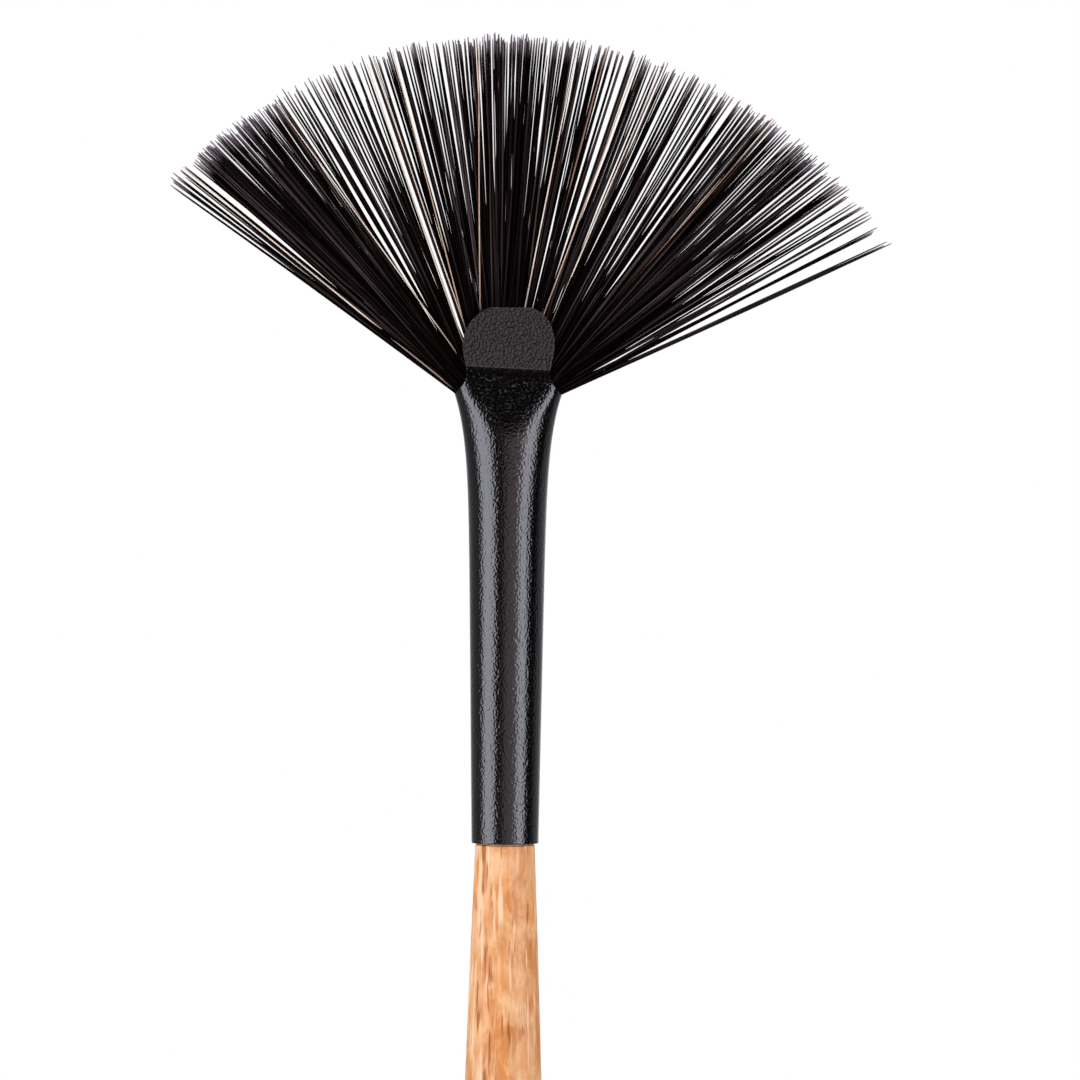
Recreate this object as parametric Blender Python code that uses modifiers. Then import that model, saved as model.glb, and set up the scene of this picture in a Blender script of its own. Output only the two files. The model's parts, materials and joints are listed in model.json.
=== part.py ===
"""Fan paint brush: a turned wooden handle, a metal ferrule pressed flat at its mouth, and a fan of hair in locks.

The brush stands on its butt at the origin with the hair up (+Z). The fan lies in the XZ plane and its front faces -Y.
"""

import math

import bmesh
import bpy
from mathutils import Vector

# Heights above the butt end, in metres.
TENON_TOP = 0.1435
FERRULE_BOTTOM = 0.1300
FLATTENING_START = 0.1580
SHOULDER = 0.1702
SHOULDER_TIP = 0.1710
HAIR_MOUTH = 0.1712
NECK = 0.1717
CRIMP = 0.1722
TAB_BOTTOM = 0.1724
TAB_TOP = 0.1779

# Ferrule.
WALL = 0.0003
MOUTH_RADIUS = 0.0030
TUBE_WIDENING = 0.00062
SHOULDER_HALF_WIDTH = 0.00482
FLARE_POWER = 10.5
DEPTH_LOSS = 0.00075
CRIMP_HALF_THICKNESS = 0.00105
PRESS_SLOPE = 0.40
PRESS_ROUNDING = 0.0004
SHOULDER_TIP_HALF_WIDTH = 0.0040
NECK_HALF_WIDTH = 0.0037
TAB_HALF_THICKNESS = 0.00160
TAB_HALF_WIDTH = 0.00410
TAB_FOOT_HALF_WIDTH = 0.00375
TAB_SHOULDER = 0.1742
TAB_CROWN = 0.00395
TAB_CORNER = 2.1
TAB_TRIM_ROOM = 0.0006

# Handle.
TENON_RADIUS = 0.00250
TENON_CHAMFER = 0.0005
NECK_RADIUS = 0.00262
NECK_TOP = 0.1310
BELLY_RADIUS = 0.00400
BELLY_HEIGHT = 0.0750
BUTT_RADIUS = 0.00225
BUTT_TAPER_START = -0.0300
BUTT_FLAT_RADIUS = 0.0012
BUTT_ROUNDING = 0.0014

# Fan of hair. Across the fan, u runs from -1 at the left edge to +1 at the right edge.
LOCK_COUNT = 24
FAN_LEAN = math.radians(5.75)
FAN_HALF_ANGLE = math.radians(60.3)
MOUTH_HALF_SPREAD = 0.0046
MOUTH_SAG = 0.0010
ROOT_LENGTH = 0.0080
TIP_CENTRE = Vector((-0.0002, 0.0, 0.1615))
TIP_RADIUS = 0.0410
LOCK_GAP = 0.0003
LOCK_FILL = 0.72
LOCK_HALF_THICKNESS = 0.00080
LOCK_TIP_HALF_THICKNESS = 0.00045
LOCK_ROUNDNESS = 2.6

# Hair and fillings inside the ferrule.
HAIR_GAP = 0.00012
GLUE_THICKNESS = 0.0014
GLUE_CHAMFER = 0.0003
RESIN_THICKNESS = 0.0034
RESIN_SLOPE = 0.0008
BUNDLE_RADIUS = 0.00205
BUNDLE_SPREAD_START = 0.1560
THREAD_RADIUS = 0.00016
THREAD_TURNS = 5
THREAD_HEIGHT = 0.1525

AROUND = 56
TAU = 2 * math.pi


def clear_scene():
    for obj in list(bpy.data.objects):
        bpy.data.objects.remove(obj)


def new_collection(name):
    collection = bpy.data.collections.new(name)
    bpy.context.scene.collection.children.link(collection)
    return collection


def material(name, colour, roughness, metallic=0.0):
    made = bpy.data.materials.new(name)
    made.use_nodes = True
    shader = made.node_tree.nodes["Principled BSDF"]
    shader.inputs["Base Color"].default_value = (*colour, 1.0)
    shader.inputs["Roughness"].default_value = roughness
    shader.inputs["Metallic"].default_value = metallic
    made.diffuse_color = (*colour, 1.0)
    return made


def add_object(name, data, collection, finish, sharp_angle=35):
    obj = bpy.data.objects.new(name, data)
    collection.objects.link(obj)
    obj.data.materials.append(finish)
    if isinstance(data, bpy.types.Mesh):
        data.shade_smooth()
        data.set_sharp_from_angle(angle=math.radians(sharp_angle))
    return obj


def loft(name, rings, hollow=False):
    """Joins rings of points in order. A hollow loft closes on itself, and a solid one gets an end face at each end."""
    built = bmesh.new()
    rows = [[built.verts.new(point) for point in ring] for ring in rings]
    pairs = list(zip(rows, rows[1:]))
    if hollow:
        pairs.append((rows[-1], rows[0]))
    for lower, upper in pairs:
        for i in range(len(lower)):
            j = (i + 1) % len(lower)
            built.faces.new((lower[i], lower[j], upper[j], upper[i]))
    if not hollow:
        built.faces.new(rows[0][::-1])
        built.faces.new(rows[-1])
    bmesh.ops.recalc_face_normals(built, faces=built.faces)
    mesh = bpy.data.meshes.new(name)
    built.to_mesh(mesh)
    built.free()
    return mesh


def turned(name, profile, collection, finish, steps=48):
    """A turned piece: the (radius, height) profile runs down the outer side from the axis to the axis."""
    mesh = bpy.data.meshes.new(name)
    points = [(radius, 0.0, height) for radius, height in profile]
    mesh.from_pydata(points, [(i, i + 1) for i in range(len(points) - 1)], [])
    obj = bpy.data.objects.new(name, mesh)
    collection.objects.link(obj)
    mesh.materials.append(finish)
    screw = obj.modifiers.new("turn", "SCREW")
    screw.axis = "Z"
    screw.steps = steps
    screw.render_steps = steps
    screw.use_merge_vertices = True
    screw.merge_threshold = 0.00001
    screw.use_smooth_shade = True
    return obj


def smooth(value, low, high):
    """0 below low, 1 above high, and an even S between them."""
    share = min(max((value - low) / (high - low), 0.0), 1.0)
    return share * share * (3.0 - 2.0 * share)


def oval(half_width, half_thickness, roundness, height, count):
    """A ring that is an ellipse at roundness 2 and nearer a rounded slab above it."""
    ring = []
    for i in range(count):
        angle = TAU * i / count
        cosine, sine = math.cos(angle), math.sin(angle)
        x = half_width * math.copysign(abs(cosine) ** (2.0 / roundness), cosine)
        y = half_thickness * math.copysign(abs(sine) ** (2.0 / roundness), sine)
        ring.append(Vector((x, y, height)))
    return ring


def rounded_minimum(first, second, rounding):
    """The smaller of two sizes, with the corner where they cross rounded off."""
    overlap = max(rounding - abs(first - second), 0.0) / rounding
    return min(first, second) - overlap * overlap * rounding / 4.0


def pressed_ring(half_width, half_depth, pressed_depth, height):
    """An ellipse with its front and back pressed flat at pressed_depth."""
    ring = []
    for i in range(AROUND):
        angle = TAU * i / AROUND
        depth = rounded_minimum(half_depth * abs(math.sin(angle)), pressed_depth, PRESS_ROUNDING)
        y = math.copysign(max(depth, 0.0), math.sin(angle))
        ring.append(Vector((half_width * math.cos(angle), y, height)))
    return ring


def ferrule_rise(height):
    return min((height - FERRULE_BOTTOM) / (SHOULDER - FERRULE_BOTTOM), 1.0)


def ferrule_half_width(height):
    """The tube widens slowly, then flares to the shoulders."""
    flare = SHOULDER_HALF_WIDTH - MOUTH_RADIUS - TUBE_WIDENING
    rise = ferrule_rise(height)
    return MOUTH_RADIUS + TUBE_WIDENING * rise + flare * rise**FLARE_POWER


def ferrule_half_depth(height):
    """The tube's half depth, before its front and back are pressed in."""
    tube = MOUTH_RADIUS + TUBE_WIDENING * ferrule_rise(height)
    return tube - DEPTH_LOSS * smooth(height, FLATTENING_START, HAIR_MOUTH)


def pressed_depth(height):
    """The two sloping faces that the press leaves at the front and the back. They meet the crimp."""
    return CRIMP_HALF_THICKNESS + PRESS_SLOPE * max(CRIMP - height, 0.0)


def ferrule_ring(height, inset=0.0):
    return pressed_ring(
        ferrule_half_width(height) - inset,
        ferrule_half_depth(height) - inset,
        pressed_depth(height) - inset,
        height,
    )


def tab_ring(height, half_thickness, inset=0.0):
    """A ring with straight sides, so that the tabs are flat all the way across."""
    half_depth = 5.0 * TAB_HALF_THICKNESS
    return pressed_ring(ferrule_half_width(SHOULDER) - inset, half_depth, half_thickness - inset, height)


def right_outline():
    """The right side of the trimmed mouth: up from the shoulder, round the tab and nearly to the middle of its top."""
    points = [
        (SHOULDER_HALF_WIDTH, SHOULDER),
        (SHOULDER_TIP_HALF_WIDTH, SHOULDER_TIP),
        (NECK_HALF_WIDTH, NECK),
        (TAB_FOOT_HALF_WIDTH, TAB_BOTTOM),
    ]
    steps = 16
    for i in range(steps):
        angle = math.pi / 2 * i / steps
        x = TAB_HALF_WIDTH * math.cos(angle) ** (2.0 / TAB_CORNER)
        height = TAB_SHOULDER + TAB_CROWN * math.sin(angle) ** (2.0 / TAB_CORNER)
        points.append((x, min(height, TAB_TOP)))
    return points


def make_tab_cutter(cutters):
    """All that is beside and above the tabs, as one flat outline through the whole thickness of the ferrule."""
    reach = 2.0 * SHOULDER_HALF_WIDTH
    clear = TAB_TOP + 5.0 * TAB_TRIM_ROOM
    right = right_outline()
    left = [(-x, height) for x, height in right]
    outline = [(-reach, SHOULDER), *left, *reversed(right), (reach, SHOULDER), (reach, clear), (-reach, clear)]
    curve = bpy.data.curves.new("tab_cutter", "CURVE")
    curve.dimensions = "2D"
    curve.fill_mode = "BOTH"
    curve.extrude = 2.0 * MOUTH_RADIUS
    spline = curve.splines.new("POLY")
    spline.points.add(len(outline) - 1)
    for point, (x, height) in zip(spline.points, outline):
        point.co = (x, height, 0.0, 1.0)
    spline.use_cyclic_u = True
    guide = bpy.data.objects.new("tab_cutter_outline", curve)
    guide.rotation_euler = (math.pi / 2, 0.0, 0.0)
    cutters.objects.link(guide)
    bpy.context.view_layer.update()
    graph = bpy.context.evaluated_depsgraph_get()
    mesh = bpy.data.meshes.new_from_object(guide.evaluated_get(graph))
    welded = bmesh.new()
    welded.from_mesh(mesh)
    bmesh.ops.remove_doubles(welded, verts=welded.verts, dist=0.000001)
    bmesh.ops.recalc_face_normals(welded, faces=welded.faces)
    welded.to_mesh(mesh)
    welded.free()
    cutter = bpy.data.objects.new("tab_cutter", mesh)
    cutter.matrix_world = guide.matrix_world
    cutters.objects.link(cutter)
    cutter.hide_render = True
    cutter.display_type = "WIRE"
    bpy.data.objects.remove(guide)
    return cutter


def make_ferrule(parts, cutters):
    finish = material("black_wrinkle_coat", (0.018, 0.017, 0.020), 0.35)
    rows = 26
    lip = 0.0002
    heights = [FERRULE_BOTTOM + (CRIMP - FERRULE_BOTTOM) * (i / rows) ** 0.6 for i in range(rows + 1)]
    trimmed_top = TAB_TOP + TAB_TRIM_ROOM
    outer = [ferrule_ring(height) for height in heights]
    outer.append(tab_ring(TAB_BOTTOM, TAB_HALF_THICKNESS - lip / 2))
    outer.append(tab_ring(TAB_BOTTOM + lip, TAB_HALF_THICKNESS))
    outer.append(tab_ring(trimmed_top, TAB_HALF_THICKNESS))
    inner = [ferrule_ring(height, WALL) for height in heights]
    inner.append(tab_ring(TAB_BOTTOM + 2.0 * lip, TAB_HALF_THICKNESS, WALL))
    inner.append(tab_ring(trimmed_top, TAB_HALF_THICKNESS, WALL))
    mesh = loft("ferrule", outer + inner[::-1], hollow=True)
    ferrule = add_object("ferrule", mesh, parts, finish)
    trim = ferrule.modifiers.new("cut the tabs free", "BOOLEAN")
    trim.object = make_tab_cutter(cutters)
    trim.operation = "DIFFERENCE"
    trim.solver = "EXACT"
    return ferrule


def handle_radius(height):
    """A slim neck under the ferrule, a long belly, and a taper to the butt."""
    if height > BELLY_HEIGHT:
        share = min(max((NECK_TOP - height) / (NECK_TOP - BELLY_HEIGHT), 0.0), 1.0)
        return NECK_RADIUS + (BELLY_RADIUS - NECK_RADIUS) * math.sin(share * math.pi / 2)
    return BUTT_RADIUS + (BELLY_RADIUS - BUTT_RADIUS) * smooth(height, BUTT_TAPER_START, BELLY_HEIGHT)


def make_handle(parts):
    finish = material("beech", (0.80, 0.45, 0.21), 0.45)
    profile = [
        (0.0, TENON_TOP),
        (TENON_RADIUS - TENON_CHAMFER, TENON_TOP),
        (TENON_RADIUS, TENON_TOP - TENON_CHAMFER),
        (TENON_RADIUS, FERRULE_BOTTOM - 0.0001),
    ]
    rows = 40
    top = FERRULE_BOTTOM - 0.0002
    for i in range(rows + 1):
        height = top + (BUTT_ROUNDING - top) * i / rows
        profile.append((handle_radius(height), height))
    end_radius = handle_radius(BUTT_ROUNDING)
    for i in range(1, 6):
        turn = math.radians(90 * i / 5)
        radius = BUTT_FLAT_RADIUS + (end_radius - BUTT_FLAT_RADIUS) * math.cos(turn)
        profile.append((radius, BUTT_ROUNDING * (1.0 - math.sin(turn))))
    profile.append((0.0, 0.0))
    return turned("handle", profile, parts, finish)


def make_handle_glue(parts):
    finish = material("clear_glue", (0.62, 0.48, 0.28), 0.35)
    bottom = TENON_TOP + LOCK_GAP
    radius = MOUTH_RADIUS - WALL - HAIR_GAP
    profile = [
        (0.0, bottom + GLUE_THICKNESS),
        (radius - GLUE_CHAMFER, bottom + GLUE_THICKNESS),
        (radius, bottom + GLUE_THICKNESS - GLUE_CHAMFER),
        (radius, bottom),
        (0.0, bottom),
    ]
    return turned("handle_glue", profile, parts, finish, steps=40)


def resin_bottom():
    return TENON_TOP + LOCK_GAP + GLUE_THICKNESS + LOCK_GAP


def hair_bottom():
    return resin_bottom() + RESIN_THICKNESS + HAIR_GAP


def make_resin_plug(parts):
    finish = material("amber_resin", (0.45, 0.20, 0.05), 0.25)
    bottom = resin_bottom()
    radius = MOUTH_RADIUS - WALL - HAIR_GAP
    profile = [
        (0.0, bottom + RESIN_THICKNESS),
        (BUNDLE_RADIUS, bottom + RESIN_THICKNESS),
        (radius, bottom + RESIN_THICKNESS - RESIN_SLOPE),
        (radius, bottom),
        (0.0, bottom),
    ]
    return turned("resin_plug", profile, parts, finish, steps=40)


def make_binding_thread(parts):
    """A few turns of thread round the bundle, as one helix."""
    finish = material("linen_thread", (0.70, 0.66, 0.56), 0.8)
    curve = bpy.data.curves.new("binding_thread", "CURVE")
    curve.dimensions = "3D"
    curve.bevel_depth = THREAD_RADIUS
    curve.bevel_resolution = 2
    curve.use_fill_caps = True
    spline = curve.splines.new("POLY")
    per_turn = 20
    count = THREAD_TURNS * per_turn + 1
    spline.points.add(count - 1)
    radius = BUNDLE_RADIUS + HAIR_GAP + THREAD_RADIUS + 0.0001
    pitch = 2.0 * THREAD_RADIUS + 0.0001
    for i, point in enumerate(spline.points):
        turn = TAU * i / per_turn
        height = THREAD_HEIGHT + pitch * i / per_turn
        point.co = (radius * math.cos(turn), radius * math.sin(turn), height, 1.0)
    return add_object("binding_thread", curve, parts, finish)


def hair_angle(u):
    """How far the hair at u leans from upright, towards +X."""
    return FAN_LEAN + FAN_HALF_ANGLE * u


def hair_direction(u):
    return Vector((math.sin(hair_angle(u)), 0.0, math.cos(hair_angle(u))))


def hair_across(u):
    return Vector((math.cos(hair_angle(u)), 0.0, -math.sin(hair_angle(u))))


def fan_point(u, distance):
    """The point on the hair at u, a distance out from the mouth of the ferrule."""
    mouth = Vector((MOUTH_HALF_SPREAD * u, 0.0, HAIR_MOUTH - MOUTH_SAG * u**4))
    return mouth + hair_direction(u) * distance


def tip_distance(u):
    """How far out from the mouth the hair at u meets the round edge of the fan."""
    start = fan_point(u, 0.0) - TIP_CENTRE
    along = start.dot(hair_direction(u))
    return -along + math.sqrt(along * along - start.length_squared + TIP_RADIUS**2)


def bundle_ring(height):
    """The bundle below the mouth: round at its root and pressed flat with the ferrule above it."""
    spread = smooth(height, BUNDLE_SPREAD_START, HAIR_MOUTH)
    clearance = WALL + HAIR_GAP
    widest = ferrule_half_width(height) - clearance
    half_width = BUNDLE_RADIUS + (widest - BUNDLE_RADIUS) * spread
    return pressed_ring(half_width, BUNDLE_RADIUS, pressed_depth(height) - clearance, height)


def hair_room(height):
    """Half the space for hair between the front and the back of the metal."""
    between_tabs = TAB_HALF_THICKNESS - CRIMP_HALF_THICKNESS
    opening = between_tabs * smooth(height, TAB_BOTTOM + WALL, TAB_BOTTOM + 3.0 * WALL)
    return pressed_depth(height) + opening - WALL - HAIR_GAP


def fan_ring(distance):
    """The fanned part of the root, a distance out from the mouth. Its outline matches the bundle at the mouth."""
    ring = []
    base = bundle_ring(HAIR_MOUTH)
    half_width = max(point.x for point in base)
    half_depth = max(point.y for point in base)
    spread = smooth(distance, 0.0, ROOT_LENGTH / 2)
    for point in base:
        u = point.x / half_width
        along = fan_point(u, distance)
        along.x += (point.x - MOUTH_HALF_SPREAD * u) * (1.0 - spread)
        along.z += MOUTH_SAG * u**4 * (1.0 - spread)
        thickness = half_depth + (LOCK_HALF_THICKNESS - half_depth) * spread
        along.y = point.y / half_depth * min(thickness, hair_room(along.z))
        ring.append(along)
    return ring


def make_hair_root(parts):
    finish = material("black_hair_root", (0.012, 0.010, 0.009), 0.4)
    rows = 16
    bottom = hair_bottom()
    below = [bundle_ring(bottom + (HAIR_MOUTH - bottom) * i / rows) for i in range(rows + 1)]
    top = ROOT_LENGTH - LOCK_HALF_THICKNESS - LOCK_GAP
    fan_rows = 10
    above = [fan_ring(top * i / fan_rows) for i in range(1, fan_rows + 1)]
    return add_object("hair_root", loft("hair_root", below + above), parts, finish)


def lock_middle(index):
    return -1.0 + (2.0 * index + 1.0) / LOCK_COUNT


def make_hair_lock(index, parts, finish):
    """One lock: a slim wedge whose rounded base turns about its own hinge line, on an empty placed there."""
    u = lock_middle(index)
    hinge = bpy.data.objects.new(f"hinge_{index + 1:02d}", None)
    hinge.location = fan_point(u, ROOT_LENGTH)
    hinge.rotation_euler = (0.0, hair_angle(u), 0.0)
    hinge.empty_display_size = 0.002
    parts.objects.link(hinge)

    length = tip_distance(u) - ROOT_LENGTH
    step = 2.0 / LOCK_COUNT
    rings = []
    for turn in (-80, -50, -20):
        along = LOCK_HALF_THICKNESS * math.sin(math.radians(turn))
        rings.append((along, LOCK_HALF_THICKNESS * math.cos(math.radians(turn))))
    body_rows = 6
    for i in range(body_rows + 1):
        share = i / body_rows
        thick = LOCK_HALF_THICKNESS + (LOCK_TIP_HALF_THICKNESS - LOCK_HALF_THICKNESS) * share
        rings.append((length * 0.94 * share, thick))
    rings.append((length, LOCK_TIP_HALF_THICKNESS * 0.5))

    outlines = []
    for along, half_thickness in rings:
        left = fan_point(u - step / 2, ROOT_LENGTH + along)
        right = fan_point(u + step / 2, ROOT_LENGTH + along)
        pitch = (right - left).dot(hair_across(u))
        half_width = min(pitch * LOCK_FILL, pitch - LOCK_GAP) / 2
        if along >= length:
            half_width *= 0.6
        outlines.append(oval(half_width, half_thickness, LOCK_ROUNDNESS, along, 12))
    obj = add_object(f"hair_lock_{index + 1:02d}", loft(f"hair_lock_{index + 1:02d}", outlines), parts, finish)
    obj.parent = hinge
    return obj


def make_hair_locks(parts):
    for index in range(LOCK_COUNT):
        shade = 0.010 + 0.004 * (index % 3)
        finish = material(f"black_hair_{index + 1:02d}", (shade * 1.2, shade, shade), 0.4)
        make_hair_lock(index, parts, finish)


def main():
    clear_scene()
    parts = new_collection("fan_paint_brush")
    cutters = new_collection("cutters")
    cutters.hide_render = True
    make_handle(parts)
    make_ferrule(parts, cutters)
    make_handle_glue(parts)
    make_resin_plug(parts)
    make_binding_thread(parts)
    make_hair_root(parts)
    make_hair_locks(parts)


main()
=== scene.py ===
import json
import math
import random

import bmesh
import bpy
import numpy as np
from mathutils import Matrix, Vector, noise


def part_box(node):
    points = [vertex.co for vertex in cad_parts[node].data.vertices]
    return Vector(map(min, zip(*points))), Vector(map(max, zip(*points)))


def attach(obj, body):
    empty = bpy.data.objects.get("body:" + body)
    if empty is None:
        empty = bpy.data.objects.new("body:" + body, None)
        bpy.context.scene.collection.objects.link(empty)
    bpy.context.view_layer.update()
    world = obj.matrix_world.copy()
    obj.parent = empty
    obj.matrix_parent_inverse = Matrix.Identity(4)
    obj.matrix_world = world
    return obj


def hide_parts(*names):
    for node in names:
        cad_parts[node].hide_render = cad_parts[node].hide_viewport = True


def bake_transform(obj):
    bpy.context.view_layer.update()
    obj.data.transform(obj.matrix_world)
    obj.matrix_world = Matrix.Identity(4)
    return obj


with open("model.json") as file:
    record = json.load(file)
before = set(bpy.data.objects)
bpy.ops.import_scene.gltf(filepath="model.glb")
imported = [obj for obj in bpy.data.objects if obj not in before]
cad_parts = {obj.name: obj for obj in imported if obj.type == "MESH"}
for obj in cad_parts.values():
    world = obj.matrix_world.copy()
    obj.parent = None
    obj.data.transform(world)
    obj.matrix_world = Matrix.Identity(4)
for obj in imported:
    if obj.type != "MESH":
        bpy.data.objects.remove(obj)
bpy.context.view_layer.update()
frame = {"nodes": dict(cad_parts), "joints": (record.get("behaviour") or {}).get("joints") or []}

MM = 0.001
TAU = 2 * math.pi

# Places read from the frame.
FERRULE_LOW, FERRULE_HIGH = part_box("ferrule")
FERRULE_BOTTOM = FERRULE_LOW.z
TAB_TOP = FERRULE_HIGH.z
SHOULDER_HALF_WIDTH = FERRULE_HIGH.x
LOCKS = [joint for joint in frame["joints"] if joint["name"].startswith("hair_lock")]

# Ferrule, as heights below the top of the tabs and as half sizes.
FLATTENING_START = TAB_TOP - 19.9 * MM
SHOULDER = TAB_TOP - 7.7 * MM
SHOULDER_TIP = TAB_TOP - 6.9 * MM
HAIR_MOUTH = TAB_TOP - 6.7 * MM
NECK = TAB_TOP - 6.2 * MM
CRIMP = TAB_TOP - 5.7 * MM
TAB_BOTTOM = TAB_TOP - 5.5 * MM
TAB_SHOULDER = TAB_TOP - 3.7 * MM
TAB_CROWN = 3.95 * MM
TAB_CORNER_LEFT = 2.15
TAB_CORNER_RIGHT = 2.60
TAB_TILT = -0.045
TAB_SIDE_DEPTH = 5.0 * MM
STEP_START, STEP_END = -0.05 * MM, 0.06 * MM
WALL = 0.30 * MM
MOUTH_RADIUS = 3.00 * MM
TUBE_WIDENING = 0.62 * MM
FLARE_POWER = 10.5
DEPTH_LOSS = 0.75 * MM
CRIMP_HALF_THICKNESS = 1.05 * MM
PRESS_SLOPE = 0.40
PRESS_ROUNDING = 0.55 * MM
SHOULDER_TIP_HALF_WIDTH = 4.00 * MM
NECK_HALF_WIDTH = 3.70 * MM
TAB_HALF_THICKNESS = 1.60 * MM
TAB_HALF_WIDTH = 4.10 * MM
TAB_FOOT_HALF_WIDTH = 3.75 * MM
CUTTER_HALF_DEPTH = 6.0 * MM
CUT_EDGE_BEVEL = 0.05 * MM
# Painted highlight along the tab edges and their lower step, and painted sheen over the whole face of each
# tab.
EDGE_HIGHLIGHT_START, EDGE_HIGHLIGHT_END = 0.03 * MM, 0.09 * MM
TAB_PAINTED_SHEEN = 0.30
WRINKLE_SIZE = 0.42 * MM
WRINKLE_HEIGHT = 0.007 * MM

# Handle. The line that most pores and pale streaks of the wood gather at is this far left of the axis.
GRAIN_LINE = 1.7 * MM
PORE_DEPTH = 0.030 * MM
GRAIN_DEPTH = 0.006 * MM

# Fan of hair. Across the fan, u runs from -1 at the left edge to +1 at the right edge.
MOUTH_HALF_SPREAD = 4.6 * MM
MOUTH_SAG = 1.0 * MM
TIP_CENTRE = Vector((-0.2 * MM, 0.0, TAB_TOP - 16.4 * MM))
TIP_RADIUS = 41.05 * MM
HAIR_RADIUS = 0.100 * MM
HAIR_SIDES = 6
HAIR_BOW = 0.10 * MM
METAL_CLEARANCE = 0.03 * MM
# Each strand is one to three hairs that run together to one tip. A lock of crowding 1 has this many strands.
STRANDS = 13.9
STRAND_SIZES = (1, 2, 2, 3)
STRAND_HALF_SPACING = 0.045 * MM
STRAND_SHORTNESS = 0.50 * MM
STRAND_STRAY = 0.045
HAIR_STRAY = 0.035
BROKEN_SHARE = 0.12
# How crowded the fan is at some places across it: dense near the left edge and right of the middle, and
# thin at the right edge.
CROWDING = [
    (-1.00, 1.3), (-0.94, 0.9), (-0.89, 2.3), (-0.76, 2.2), (-0.68, 0.7), (-0.58, 0.7), (-0.45, 0.75),
    (-0.30, 0.9), (-0.18, 1.4), (-0.05, 1.6), (0.06, 1.1), (0.30, 0.8), (0.42, 0.8), (0.52, 1.2),
    (0.60, 0.9), (0.70, 1.7), (0.77, 1.6), (0.84, 0.8), (0.92, 0.45), (1.00, 0.40),
]
# The few hairs that aren't black: where each ends and where it leaves the metal, across the fan.
PALE_HAIRS = [
    (-0.948, -0.97, "cream"), (-0.682, -0.57, "cream"), (-0.440, -0.59, "cream"), (-0.420, -0.46, "cream"),
    (-0.372, -0.57, "tan"), (-0.160, -0.53, "tan"), (0.080, 0.05, "cream"), (0.150, 0.20, "brown"),
    (0.230, 0.19, "tan"), (0.290, 0.36, "cream"), (0.590, 0.62, "brown"),
]
EDGE_STRANDS = (-0.985, 0.945, 0.985)
FINISH_ORDER = ["black", "tan", "brown", "cream"]
# Stations along a hair: distances from the mouth in millimetres, and then shares of what is left to the tip.
INSIDE = [-3.0, -2.2, -1.5, -0.9, -0.4]
NEAR = [0.0, 0.5, 1.2, 2.2, 3.5, 5.0, 6.5, 8.0, 9.5, 11.0, 13.0, 16.0, 20.0]
FAR = [0.35, 0.65, 0.85, 0.93, 0.98, 1.0]
TUBE_HAIR_HALF_DEPTH = 0.62 * MM
BUNDLE_RADIUS = 2.05 * MM
BUNDLE_SPREAD_START = TAB_TOP - 21.9 * MM
BUNDLE_CLEARANCE = WALL + 0.15 * MM


def smooth(value, low, high):
    """0 below low, 1 above high, and an even S between them."""
    share = min(max((value - low) / (high - low), 0.0), 1.0)
    return share * share * (3.0 - 2.0 * share)


def smooth_all(values, low, high):
    """The same S as smooth, for an array of values."""
    share = np.clip((values - low) / (high - low), 0.0, 1.0)
    return share * share * (3.0 - 2.0 * share)


# Node trees


class NodeTree:
    """A short way to write a node tree."""

    def __init__(self, tree):
        self.tree = tree

    def add(self, kind, inputs=None, **settings):
        node = self.tree.nodes.new(kind)
        for key, value in settings.items():
            setattr(node, key, value)
        for key, value in (inputs or {}).items():
            self.set(node.inputs[key], value)
        return node

    def set(self, socket, value):
        if isinstance(value, bpy.types.NodeSocket):
            self.tree.links.new(value, socket)
        else:
            socket.default_value = value

    def ramp(self, factor, stops):
        node = self.add("ShaderNodeValToRGB", {"Fac": factor})
        elements = node.color_ramp.elements
        while len(elements) < len(stops):
            elements.new(0.5)
        for element, (place, colour) in zip(elements, stops):
            element.position = place
            element.color = (*colour, 1.0)
        return node.outputs["Color"]

    def math(self, operation, first, second=0.0, third=0.0):
        node = self.add("ShaderNodeMath", operation=operation)
        for socket, value in zip(node.inputs, (first, second, third)):
            self.set(socket, value)
        return node.outputs["Value"]


class Finish(NodeTree):
    """A material, written on its Principled shader."""

    def __init__(self, name):
        self.material = bpy.data.materials.new(name)
        self.material.use_nodes = True
        super().__init__(self.material.node_tree)
        self.shader = self.tree.nodes["Principled BSDF"]

    def principled(self, **inputs):
        for key, value in inputs.items():
            self.set(self.shader.inputs[key.replace("_", " ")], value)

    def attribute(self, name):
        return self.add("ShaderNodeAttribute", attribute_name=name).outputs["Fac"]

    def place(self, stretch=(1.0, 1.0, 1.0), shift=(0.0, 0.0, 0.0)):
        coordinates = self.add("ShaderNodeTexCoord")
        mapping = self.add("ShaderNodeMapping", {"Vector": coordinates.outputs["Object"]})
        mapping.inputs["Scale"].default_value = stretch
        mapping.inputs["Location"].default_value = shift
        return mapping.outputs["Vector"]

    def noise(self, vector, scale, detail=4.0, rough=0.5, distortion=0.0):
        shape = {"Scale": scale, "Detail": detail, "Roughness": rough, "Distortion": distortion}
        return self.add("ShaderNodeTexNoise", {"Vector": vector, **shape}).outputs["Fac"]

    def mix(self, factor, first, second, blend="MIX"):
        node = self.add("ShaderNodeMix", data_type="RGBA", blend_type=blend)
        self.set(node.inputs["Factor"], factor)
        self.set(node.inputs["A"], first)
        self.set(node.inputs["B"], second)
        return node.outputs["Result"]

    def bump(self, height, strength, distance):
        node = self.add("ShaderNodeBump", {"Height": height, "Strength": strength, "Distance": distance})
        return node.outputs["Normal"]


def grey(value):
    return (value, value, value)


# Materials


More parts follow.
